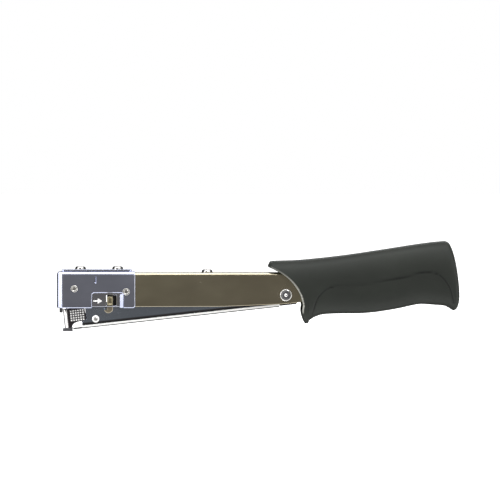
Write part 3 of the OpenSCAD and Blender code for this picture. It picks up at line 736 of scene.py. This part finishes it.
# %% Outline curves
def smooth_line(points, steps=24):
    """A Catmull-Rom curve through a few points."""
    p = np.array(points, float)
    p = np.vstack([2 * p[0] - p[1], p, 2 * p[-1] - p[-2]])
    t = np.linspace(0, 1, steps, endpoint=False)[:, None]
    out = []
    for a, b, c, d in zip(p[:-3], p[1:-2], p[2:-1], p[3:]):
        out.append(0.5 * (2 * b + (c - a) * t + (2 * a - 5 * b + 4 * c - d) * t ** 2
                          + (3 * b - a - 3 * c + d) * t ** 3))
    return np.vstack([*out, p[-2]])


def bezier(points, steps=24):
    """A cubic curve from its two ends and the two handles between them."""
    a, b, c, d = np.array(points, float)
    t = np.linspace(0, 1, steps)[:, None]
    return a * (1 - t) ** 3 + 3 * b * t * (1 - t) ** 2 + 3 * c * t * t * (1 - t) + d * t ** 3


def rising(line):
    """The same curve with X never turning back, for looking heights up by X."""
    line = line.copy()
    line[:, 0] = np.maximum.accumulate(line[:, 0])
    return line


GRIP_TOP = rising(smooth_line([
    (7.4, 51), (9, 54.4), (12, 55.8), (34, 56.7), (66, 60), (98, 64.6), (130, 69.5), (147, 71.4),
    (151.5, 71), (154, 68.2), (156.5, 61.5), (158.5, 52.5), (160.2, 40), (161, 28)]))
GRIP_BOTTOM = rising(smooth_line([
    (7.4, 5.4), (37, 5.4), (40, 7.4), (43, 9.6), (47, 11.5), (52, 12.8), (62, 13.4), (82, 13.6),
    (96, 14.8), (112, 17.4), (124, 20), (131, 20.9), (142, 20.2), (149, 19.6), (152.5, 18.2),
    (156, 16), (157.5, 15.9), (159.4, 17.5), (160.4, 20.6), (161, 25)]))
GRIP_HALF = rising(smooth_line([
    (7.4, 16.3), (40, 16.9), (80, 15.4), (112, 15.6), (146, 16.9), (156, 16.3), (159, 14.5),
    (160.4, 11.9), (161, 8)]))
MOUTH = np.vstack([bezier([(7.6, 51.0), (20.2, 46.4), (33.6, 36), (35.1, 20)]),
                   bezier([(35.1, 20), (34.4, 16.4), (33.6, 14.2), (37.2, 5.3)])[1:]])
PANEL_LINE = smooth_line([
    (42.4, 13), (45.6, 24.2), (49.7, 30), (54.6, 33.6), (60.4, 35.7), (66, 36.1), (74.2, 36.5),
    (84.8, 37.3), (95.5, 39), (106.8, 41), (119.1, 43.8), (127.2, 46), (133.8, 47.1), (142, 45.4),
    (147.7, 41), (152.6, 33.6), (156, 22)])
print("mouth points", len(MOUTH))


# %% Grip surface
SQUARENESS = 2 / 2.6      # 1 would make the sections plain ovals
GRIP_AROUND = 240         # points round the grip
REAR_START = 60.0         # from here the rows are plain sections
FRONT_ROWS = 96
REAR_ROWS = 190
MOUTH_SEARCH = (7.4, 40.0)
SEARCH_STEPS = 40
PANEL_GROOVE = 0.75       # depth of the groove round the palm panel
GROOVE_WIDTH = 0.55
PANEL_STEP = 0.3          # how far the panel stands below the rest
STEP_WIDTH = 1.2
POCKET_HALF = 10.3        # the pocket that the frame's end stands in
POCKET_Z = (16.0, 46.8)
POCKET_DEPTH = 9.0
POCKET_END = 45.5
POCKET_SQUARENESS = 0.22
LIP_ROUND = 1.1
LIP_TURNS = (90, 67, 45, 22, 0)
LIP_SKIP = 3              # rows of the grid that the rounded lip takes the place of
GRID_MERGE = 1e-6         # points of a grid closer than this become one
GRID_SHARP = math.radians(50)


def at(line, x):
    return np.interp(x, line[:, 0], line[:, 1])


def sign_pow(value, power):
    return np.sign(value) * np.abs(value) ** power


def section_point(x, angle):
    """Where an angle round the grip lies in the section at x."""
    top, bottom = at(GRIP_TOP, x), at(GRIP_BOTTOM, x)
    height = (top + bottom) / 2 + (top - bottom) / 2 * sign_pow(np.sin(angle), SQUARENESS)
    return at(GRIP_HALF, x) * sign_pow(np.cos(angle), SQUARENESS), height


def mouth_x(height):
    order = np.argsort(MOUTH[:, 1])
    return np.interp(height, MOUTH[order, 1], MOUTH[order, 0])


def mouth_start(angle):
    """Where a line along the grip, at one angle round it, meets the curved mouth."""
    low, high = MOUTH_SEARCH
    for _ in range(SEARCH_STEPS):
        middle = (low + high) / 2
        if middle < mouth_x(section_point(middle, angle)[1]):
            low = middle
        else:
            high = middle
    return high


def rear_stations():
    """Sections from the middle of the grip to its butt, evenly spaced along its outline."""
    line = GRIP_TOP[GRIP_TOP[:, 0] >= REAR_START]
    run = np.concatenate([[0], np.cumsum(np.hypot(*np.diff(line, axis=0).T))])
    even = np.interp(np.linspace(0, run[-1], REAR_ROWS), run, line[:, 0])
    return np.unique(np.round(even, 4))[1:]


def distance_to(line, x, height):
    """How far each point stands from a line in the side view."""
    gaps = np.hypot(line[:, 0, None] - x.ravel(), line[:, 1, None] - height.ravel())
    return gaps.min(axis=0).reshape(x.shape)


def panel_offset(x, height):
    """How far the palm panel's groove and step push the surface in, on the grip's sides."""
    distance = distance_to(PANEL_LINE, x, height)
    line_z = np.interp(x, PANEL_LINE[:, 0], PANEL_LINE[:, 1], left=0, right=0)
    below = np.clip((line_z - height) / STEP_WIDTH, 0, 1)
    groove = PANEL_GROOVE * np.exp(-(distance / GROOVE_WIDTH) ** 2)
    return groove + PANEL_STEP * below * below * (3 - 2 * below)


def grip_grid():
    """The outside of the grip, as rows from the mouth to the butt."""
    angles = np.linspace(0, 2 * np.pi, GRIP_AROUND, endpoint=False)
    starts = np.array([mouth_start(a) for a in angles])
    share = np.linspace(0, 1, FRONT_ROWS)[:, None]
    front = starts[None, :] + share * (REAR_START - starts[None, :])
    rear = np.repeat(rear_stations()[:, None], GRIP_AROUND, axis=1)
    xs = np.vstack([front, rear])
    ys, zs = section_point(xs, np.broadcast_to(angles, xs.shape))
    # The panel is on the sides of the grip and fades out towards its top and bottom
    flat = np.clip(np.abs(ys) / at(GRIP_HALF, xs) * 1.6 - 0.6, 0, 1)
    ys = ys - np.sign(ys) * panel_offset(xs, zs) * flat
    return angles, np.stack([xs, ys, zs], axis=2)


def pocket_ring(angles):
    """The edge of the pocket, which is nearly a rectangle and follows the mouth."""
    y = POCKET_HALF * sign_pow(np.cos(angles), POCKET_SQUARENESS)
    half = (POCKET_Z[1] - POCKET_Z[0]) / 2
    z = sum(POCKET_Z) / 2 + half * sign_pow(np.sin(angles), POCKET_SQUARENESS)
    return np.stack([mouth_x(z), y, z], axis=1)


def build_grip():
    """All rings of the grip: the pocket's floor and wall, the rounded lip and the outside."""
    angles, grid = grip_grid()
    pocket = pocket_ring(angles)
    edge = grid[0]
    inward = pocket - edge
    inward /= np.linalg.norm(inward, axis=1)[:, None]
    along = grid[1] - edge
    along /= np.linalg.norm(along, axis=1)[:, None]
    lip = [edge + LIP_ROUND * (1 - math.sin(turn)) * along + LIP_ROUND * (1 - math.cos(turn)) * inward
           for turn in np.radians(LIP_TURNS)]
    floor_ring = pocket.copy()
    floor_ring[:, 0] = np.minimum(pocket[:, 0] + POCKET_DEPTH, POCKET_END)
    step_ring = pocket * 0.999 + floor_ring * 0.001
    return np.array([floor_ring, step_ring, pocket, *lip, *grid[LIP_SKIP:]])


def grid_mesh(name, rings):
    """A closed mesh from rings of points, with a fan at each end."""
    count, around = rings.shape[:2]
    points = [*(rings.reshape(-1, 3) * MM), rings[0].mean(axis=0) * MM, rings[-1].mean(axis=0) * MM]
    faces = []
    for r in range(count - 1):
        for i in range(around):
            j = (i + 1) % around
            faces.append((r * around + i, r * around + j, (r + 1) * around + j, (r + 1) * around + i))
    first, last = count * around, count * around + 1
    for i in range(around):
        j = (i + 1) % around
        faces.append((first, j, i))
        faces.append((last, (count - 1) * around + i, (count - 1) * around + j))
    mesh = bpy.data.meshes.new(name)
    mesh.from_pydata([tuple(p) for p in points], [], faces)
    bm = bmesh.new()
    bm.from_mesh(mesh)
    bmesh.ops.remove_doubles(bm, verts=bm.verts, dist=GRID_MERGE)
    bmesh.ops.recalc_face_normals(bm, faces=bm.faces)
    bm.to_mesh(mesh)
    bm.free()
    shade(mesh, GRID_SHARP)
    return mesh


grip = link_piece("grip_sleeve", grid_mesh("grip_sleeve", build_grip()))
spot_x, spot_y, spot_z = coordinates(grip.data)

# The rubber carries a painted highlight round its mouth, mostly in the lower half, and painted shade in
# the panel's groove. Neither mark reaches into the pocket.
RIM_HEIGHTS = (13.5, 15.5, 30, 50)
RIM_LEVELS = (0, 1, 1, 0.3)
RIM_WIDTH = 1.33
RIM_FADE = 0.7
GROOVE_MARK = 0.5
WALL_START = 0.3
WALL_FADE = 0.6

outside = np.clip((np.abs(spot_y) - POCKET_HALF - WALL_START) / WALL_FADE, 0, 1)
rim_highlight_by_height = np.interp(spot_z, RIM_HEIGHTS, RIM_LEVELS)
rim = np.clip((RIM_WIDTH - distance_to(MOUTH, spot_x, spot_z)) / RIM_FADE, 0, 1)
groove = np.exp(-(distance_to(PANEL_LINE, spot_x, spot_z) / GROOVE_MARK) ** 2)
mark(grip.data, "rim", rim_highlight_by_height * outside * rim)
mark(grip.data, "groove", outside * groove)
dress(grip, "frame", "grip_rubber", GRIP_RUBBER, "grip")


# %% [markdown]
# ## Knurled cheeks
# The nose is pulled out with finger and thumb, so each cheek carries rows of small pressed
# studs. A stud is worth modelling once: a Geometry Nodes tree lays a grid of points and puts a
# blunt pyramid on each. It ends in Realize Instances and Set Material, and the result is kept as
# a plain mesh.

# %% Geometry Nodes helpers
def geometry_tree(name, inputs):
    """An empty tree with named inputs, and its two end nodes."""
    tree = bpy.data.node_groups.new(name, "GeometryNodeTree")
    tree.interface.new_socket("Geometry", in_out="INPUT", socket_type="NodeSocketGeometry")
    for label, kind, value in inputs:
        socket = tree.interface.new_socket(label, in_out="INPUT", socket_type=kind)
        if value is not None:
            socket.default_value = value
    tree.interface.new_socket("Geometry", in_out="OUTPUT", socket_type="NodeSocketGeometry")
    return tree, tree.nodes.new("NodeGroupInput"), tree.nodes.new("NodeGroupOutput")


def grown(name, tree, values):
    """Runs a tree on an empty mesh with the given inputs and keeps the result as a mesh."""
    host = link_piece(name + "_host", bpy.data.meshes.new(name + "_host"))
    modifier = host.modifiers.new("grow", "NODES")
    modifier.node_group = tree
    for item in tree.interface.items_tree:
        if item.item_type == "SOCKET" and item.in_out == "INPUT" and item.name in values:
            modifier[item.identifier] = values[item.name]
    bpy.context.view_layer.update()
    evaluated = host.evaluated_get(bpy.context.evaluated_depsgraph_get())
    mesh = bpy.data.meshes.new_from_object(evaluated)
    mesh.name = name
    bpy.data.objects.remove(host)
    return mesh


def end_tree(tree, start, end, geometry):
    """Ends a tree: the instances become real and take the tree's material."""
    realize = tree.nodes.new("GeometryNodeRealizeInstances")
    paint = tree.nodes.new("GeometryNodeSetMaterial")
    tree.links.new(geometry, realize.inputs[0])
    tree.links.new(realize.outputs[0], paint.inputs["Geometry"])
    tree.links.new(start.outputs["Material"], paint.inputs["Material"])
    tree.links.new(paint.outputs[0], end.inputs[0])


# %% Knurl tree
KNURL_U = (1.7, 11.3)
KNURL_V = (7.4, 14.9)
KNURL_COLUMNS = 6
KNURL_ROWS = 5
CHEEK_Y = 7.2
STUD_RADIUS = 0.82
STUD_TOP = 0.12
STUD_DEPTH = 0.4


def knurl_tree():
    tree, start, end = geometry_tree("knurl", [
        ("Columns", "NodeSocketInt", 6), ("Rows", "NodeSocketInt", 5),
        ("Length", "NodeSocketFloat", 0.01), ("Height", "NodeSocketFloat", 0.008),
        ("Stud Radius", "NodeSocketFloat", 0.0006), ("Material", "NodeSocketMaterial", None)])
    grid = tree.nodes.new("GeometryNodeMeshGrid")
    for label, socket in (("Length", "Size X"), ("Height", "Size Y"), ("Columns", "Vertices X"),
                          ("Rows", "Vertices Y")):
        tree.links.new(start.outputs[label], grid.inputs[socket])
    stud = tree.nodes.new("GeometryNodeMeshCone")
    stud.inputs["Vertices"].default_value = 4
    stud.inputs["Radius Top"].default_value = STUD_TOP * MM
    stud.inputs["Depth"].default_value = STUD_DEPTH * MM
    tree.links.new(start.outputs["Stud Radius"], stud.inputs["Radius Bottom"])
    place = tree.nodes.new("GeometryNodeInstanceOnPoints")
    tree.links.new(grid.outputs["Mesh"], place.inputs["Points"])
    tree.links.new(stud.outputs["Mesh"], place.inputs["Instance"])
    place.inputs["Rotation"].default_value = (0, 0, math.radians(45))
    end_tree(tree, start, end, place.outputs[0])
    return tree


KNURL_TREE = knurl_tree()


def knurls():
    """The studs of both cheeks as one mesh."""
    parts = []
    for side in (-1, 1):
        mesh = grown("knurl", KNURL_TREE, {
            "Columns": KNURL_COLUMNS, "Rows": KNURL_ROWS,
            "Length": (KNURL_U[1] - KNURL_U[0]) * MM, "Height": (KNURL_V[1] - KNURL_V[0]) * MM,
            "Stud Radius": STUD_RADIUS * MM, "Material": STUD_NICKEL})
        mesh.transform(Matrix.Rotation(math.radians(90 if side < 0 else -90), 4, "X"))
        middle = on_magazine(sum(KNURL_U) / 2, side * CHEEK_Y, sum(KNURL_V) / 2)
        mesh.transform(Matrix.Translation(middle) @ MAGAZINE_TURN.to_3x3().to_4x4())
        parts.append(mesh)
    bm = bmesh.new()
    for mesh in parts:
        bm.from_mesh(mesh)
    joined = bpy.data.meshes.new("nose_knurls")
    bm.to_mesh(joined)
    bm.free()
    shade(joined)
    return joined


dress(link_piece("nose_knurls", knurls()), "pull_out_unit", "rivet_nickel", STUD_NICKEL)


# %% [markdown]
# ## Springs
# The pusher's spring is a wound wire, and a wound wire follows a rule, so a Geometry Nodes
# tree makes it: a spiral curve with a round profile. The leaf spring is a bent strip with many
# short sections. The two latch springs are flat zigzags.

# %% Pusher spring
def coil_tree():
    tree, start, end = geometry_tree("coil", [
        ("Turns", "NodeSocketFloat", 20.0), ("Radius", "NodeSocketFloat", 0.002),
        ("Length", "NodeSocketFloat", 0.1), ("Wire", "NodeSocketFloat", 0.0004),
        ("Material", "NodeSocketMaterial", None)])
    spiral = tree.nodes.new("GeometryNodeCurveSpiral")
    spiral.inputs["Resolution"].default_value = 20
    for label, socket in (("Turns", "Rotations"), ("Radius", "Start Radius"),
                          ("Radius", "End Radius"), ("Length", "Height")):
        tree.links.new(start.outputs[label], spiral.inputs[socket])
    circle = tree.nodes.new("GeometryNodeCurvePrimitiveCircle")
    circle.inputs["Resolution"].default_value = 8
    tree.links.new(start.outputs["Wire"], circle.inputs["Radius"])
    sweep = tree.nodes.new("GeometryNodeCurveToMesh")
    tree.links.new(spiral.outputs[0], sweep.inputs["Curve"])
    tree.links.new(circle.outputs[0], sweep.inputs["Profile Curve"])
    sweep.inputs["Fill Caps"].default_value = True
    end_tree(tree, start, end, sweep.outputs[0])
    return tree


SPRING_U = (24.3, 157.7)
ROD_V = 14.6
COIL_GAP = 0.6            # left free at each end for the wire's own thickness
COIL_TURNS = 44.0
COIL_RADIUS = 2.0
WIRE_RADIUS = 0.4
WIRE_SHARP = math.radians(80)


def pusher_coil():
    length = SPRING_U[1] - SPRING_U[0] - 2 * COIL_GAP
    mesh = grown("pusher_coil", coil_tree(), {
        "Turns": COIL_TURNS, "Radius": COIL_RADIUS * MM, "Length": length * MM,
        "Wire": WIRE_RADIUS * MM, "Material": SPRING_STEEL})
    mesh.transform(Matrix.Rotation(math.radians(90), 4, "Y"))
    start = Vector((SPRING_U[0] + COIL_GAP, 0, ROD_V)) * MM
    mesh.transform(MAGAZINE_TURN @ Matrix.Translation(start))
    shade(mesh, WIRE_SHARP)
    return mesh


coil = link_piece("pusher_coil", pusher_coil())
dress(coil, "magazine", "spring_steel", SPRING_STEEL, "pusher_spring")
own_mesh(coil)


# %% Leaf spring
LEAF_T = 0.9
LEAF_HALF = 4.5
LEAF_SECTIONS = 60
TIP_RISE = 0.6            # the tip turns up by this much, so that it can slide
EDGE_SOFT = 0.18


def strip_mesh(name, path, thickness, half_width, count):
    """A bent strip: a side-view path through a few points, given a thickness and a width."""
    path = np.array(path, float)
    run = np.concatenate([[0], np.cumsum(np.hypot(*np.diff(path, axis=0).T))])
    even = np.linspace(0, run[-1], count)
    line = np.stack([np.interp(even, run, path[:, 0]), np.interp(even, run, path[:, 1])], axis=1)
    for _ in range(4):
        line[1:-1] = (line[:-2] + 2 * line[1:-1] + line[2:]) / 4
    slope = np.gradient(line, axis=0)
    slope /= np.linalg.norm(slope, axis=1)[:, None]
    square = np.stack([-slope[:, 1], slope[:, 0]], axis=1) * thickness / 2
    soft = min(EDGE_SOFT, thickness / 4)
    rings = []
    for (x, z), (dx, dz) in zip(line, square):
        ring = []
        for y, s in ((half_width, 1 - soft), (half_width - soft, 1), (-half_width + soft, 1),
                     (-half_width, 1 - soft), (-half_width, soft - 1), (-half_width + soft, -1),
                     (half_width - soft, -1), (half_width, soft - 1)):
            ring.append((x + dx * s, y, z + dz * s))
        rings.append(ring)
    return grid_mesh(name, np.array(rings))


leaf_low, leaf_high = (Vector(c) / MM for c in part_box("return_leaf_spring"))
LEAF_TOP = leaf_high.z - LEAF_T / 2
LEAF_TIP = leaf_low.z + LEAF_T / 2
LEAF_ROOT = leaf_high.x - 13    # as far as this the leaf lies flat under the frame's roof
LEAF_TOE = leaf_low.x + 5       # where it rests on the magazine
leaf = link_piece("return_leaf", strip_mesh("return_leaf", [
    (leaf_high.x, LEAF_TOP), (LEAF_ROOT, LEAF_TOP), (LEAF_TOE, LEAF_TIP),
    (leaf_low.x, LEAF_TIP + TIP_RISE)], LEAF_T, LEAF_HALF, LEAF_SECTIONS))
leaf.data.materials.append(SPRING_STEEL)
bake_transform(leaf)
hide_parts("return_leaf_spring")
print("leaf spring", len(leaf.data.polygons), "faces")


# %% Latch springs
for side in ("left", "right"):
    node = "latch_spring_" + side
    piece = softened(node, 0)
    dress(piece, "latch_" + side, "spring_steel", SPRING_STEEL, node)
    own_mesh(piece)
